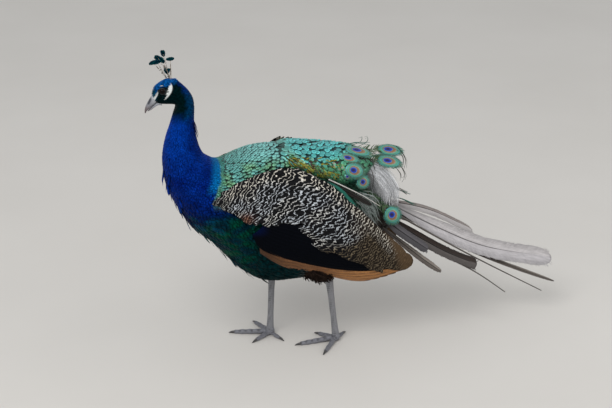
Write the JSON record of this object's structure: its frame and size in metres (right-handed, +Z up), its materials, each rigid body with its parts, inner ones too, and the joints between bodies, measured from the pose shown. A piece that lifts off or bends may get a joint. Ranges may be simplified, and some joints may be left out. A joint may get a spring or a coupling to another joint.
{
  "type": "peacock",
  "caption": "Life-size Indian peacock in moult, standing with wings folded and its short train and worn tail behind it.",
  "frame": {"origin": "middle of the bounding box at floor level, under the rear of the belly", "axes": "the bird faces -X, its left side is -Y and +Z is up; the tail points to +X"},
  "size_m": [0.8788, 0.2208, 0.6645],
  "materials": {
    "blue_plumage": "cobalt blue feathers with a green and violet sheen",
    "green_plumage": "dark green to black feathers with a soft sheen",
    "scaly_plumage": "bronze and turquoise scale feathers with dark rims",
    "barred_plumage": "cream feathers with fine wavy black bars",
    "black_plumage": "blue-black flight feathers",
    "rufous_plumage": "rufous flight feathers",
    "tail_plumage": "worn grey-brown quill feathers",
    "dark_tail_plumage": "dark brown quill feather",
    "eye_spot": "green and bronze vane with a blue eye spot",
    "down": "loose grey-white down",
    "thigh_down": "soft brown and black thigh feathers",
    "leg_skin": "dry blue-grey scales",
    "horn": "grey horn, satin",
    "eye": "wet dark brown"
  },
  "bodies": {
    "root": {"bill_lower": "horn", "bill_upper": "horn", "breast": "blue_plumage", "claw_left_hind": "horn", "claw_left_inner": "horn", "claw_left_middle": "horn", "claw_left_outer": "horn", "claw_right_hind": "horn", "claw_right_inner": "horn", "claw_right_middle": "horn", "claw_right_outer": "horn", "crest": "blue_plumage", "eye_left": "eye", "eye_right": "eye", "foot_left": "leg_skin", "foot_right": "leg_skin", "head": "blue_plumage", "neck_lower": "blue_plumage", "neck_upper": "blue_plumage", "rump": "green_plumage", "rump_down": "down", "shank_left": "leg_skin", "shank_right": "leg_skin", "tail_bare_shaft_long": "tail_plumage", "tail_bare_shaft_short": "tail_plumage", "tail_centre": "tail_plumage", "tail_centre_low": "tail_plumage", "tail_left_1": "dark_tail_plumage", "tail_left_2": "tail_plumage", "tail_left_3": "tail_plumage", "tail_right_1": "tail_plumage", "tail_right_2": "tail_plumage", "tail_right_3": "tail_plumage", "thigh_left": "thigh_down", "thigh_right": "thigh_down", "train_back": "scaly_plumage", "train_feather_far": "eye_spot", "train_feather_hanging": "eye_spot", "train_feather_lower": "eye_spot", "train_feather_upper": "eye_spot", "trunk": "green_plumage", "wing_left_coverts": "barred_plumage", "wing_left_primaries": "rufous_plumage", "wing_left_secondaries": "black_plumage", "wing_right_coverts": "barred_plumage", "wing_right_primaries": "rufous_plumage", "wing_right_secondaries": "black_plumage"}
  },
  "joints": []
}
